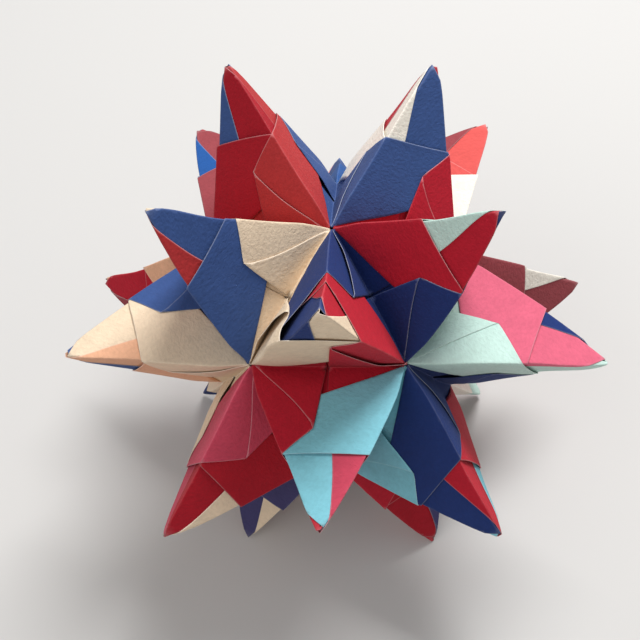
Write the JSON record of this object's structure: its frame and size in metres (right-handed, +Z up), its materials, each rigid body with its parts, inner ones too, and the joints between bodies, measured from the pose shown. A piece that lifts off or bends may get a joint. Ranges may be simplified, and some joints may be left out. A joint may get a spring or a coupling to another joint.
{
  "type": "kusudama paper star",
  "caption": "Modular paper star with three-sided spikes all round, folded from square sheets of coloured paper that tuck into each other; an ornament that stands or hangs.",
  "frame": {"origin": "on the surface that the star stands on, below its middle", "axes": "+Z up through the dimple where five sheets meet at the top; -Y towards the spike that points at the camera in the picture"},
  "size_m": [0.1466, 0.154, 0.1265],
  "materials": {
    "cream_paper": "matt coloured paper with a slight felt texture",
    "ivory_paper": "matt coloured paper with a slight felt texture",
    "navy_paper": "matt coloured paper with a slight felt texture",
    "denim_paper": "matt coloured paper with a slight felt texture",
    "bright_blue_paper": "matt coloured paper with a slight felt texture",
    "violet_paper": "matt coloured paper with a slight felt texture",
    "crimson_paper": "matt coloured paper with a slight felt texture",
    "brick_paper": "matt coloured paper with a slight felt texture",
    "deep_red_paper": "matt coloured paper with a slight felt texture",
    "raspberry_paper": "matt coloured paper with a slight felt texture",
    "coral_paper": "matt coloured paper with a slight felt texture",
    "pink_paper": "matt coloured paper with a slight felt texture",
    "dusty_rose_paper": "matt coloured paper with a slight felt texture",
    "peach_paper": "matt coloured paper with a slight felt texture",
    "mint_paper": "matt coloured paper with a slight felt texture",
    "sky_paper": "matt coloured paper with a slight felt texture"
  },
  "bodies": {
    "root": {"crown_sheet_1": "cream_paper", "crown_sheet_2": "navy_paper", "crown_sheet_3": "crimson_paper", "crown_sheet_4": "denim_paper", "crown_sheet_5": "brick_paper", "upper_ring_sheet_1": "crimson_paper", "upper_ring_sheet_2": "mint_paper", "upper_ring_sheet_3": "ivory_paper", "upper_ring_sheet_4": "deep_red_paper", "upper_ring_sheet_5": "denim_paper", "belt_sheet_1": "raspberry_paper", "belt_sheet_2": "sky_paper", "belt_sheet_3": "navy_paper", "belt_sheet_4": "pink_paper", "belt_sheet_5": "dusty_rose_paper", "belt_sheet_6": "coral_paper", "belt_sheet_7": "bright_blue_paper", "belt_sheet_8": "dusty_rose_paper", "belt_sheet_9": "peach_paper", "belt_sheet_10": "cream_paper", "lower_ring_sheet_1": "crimson_paper", "lower_ring_sheet_2": "ivory_paper", "lower_ring_sheet_3": "denim_paper", "lower_ring_sheet_4": "crimson_paper", "lower_ring_sheet_5": "deep_red_paper", "base_sheet_1": "violet_paper", "base_sheet_2": "deep_red_paper", "base_sheet_3": "mint_paper", "base_sheet_4": "navy_paper", "base_sheet_5": "cream_paper"}
  },
  "joints": []
}
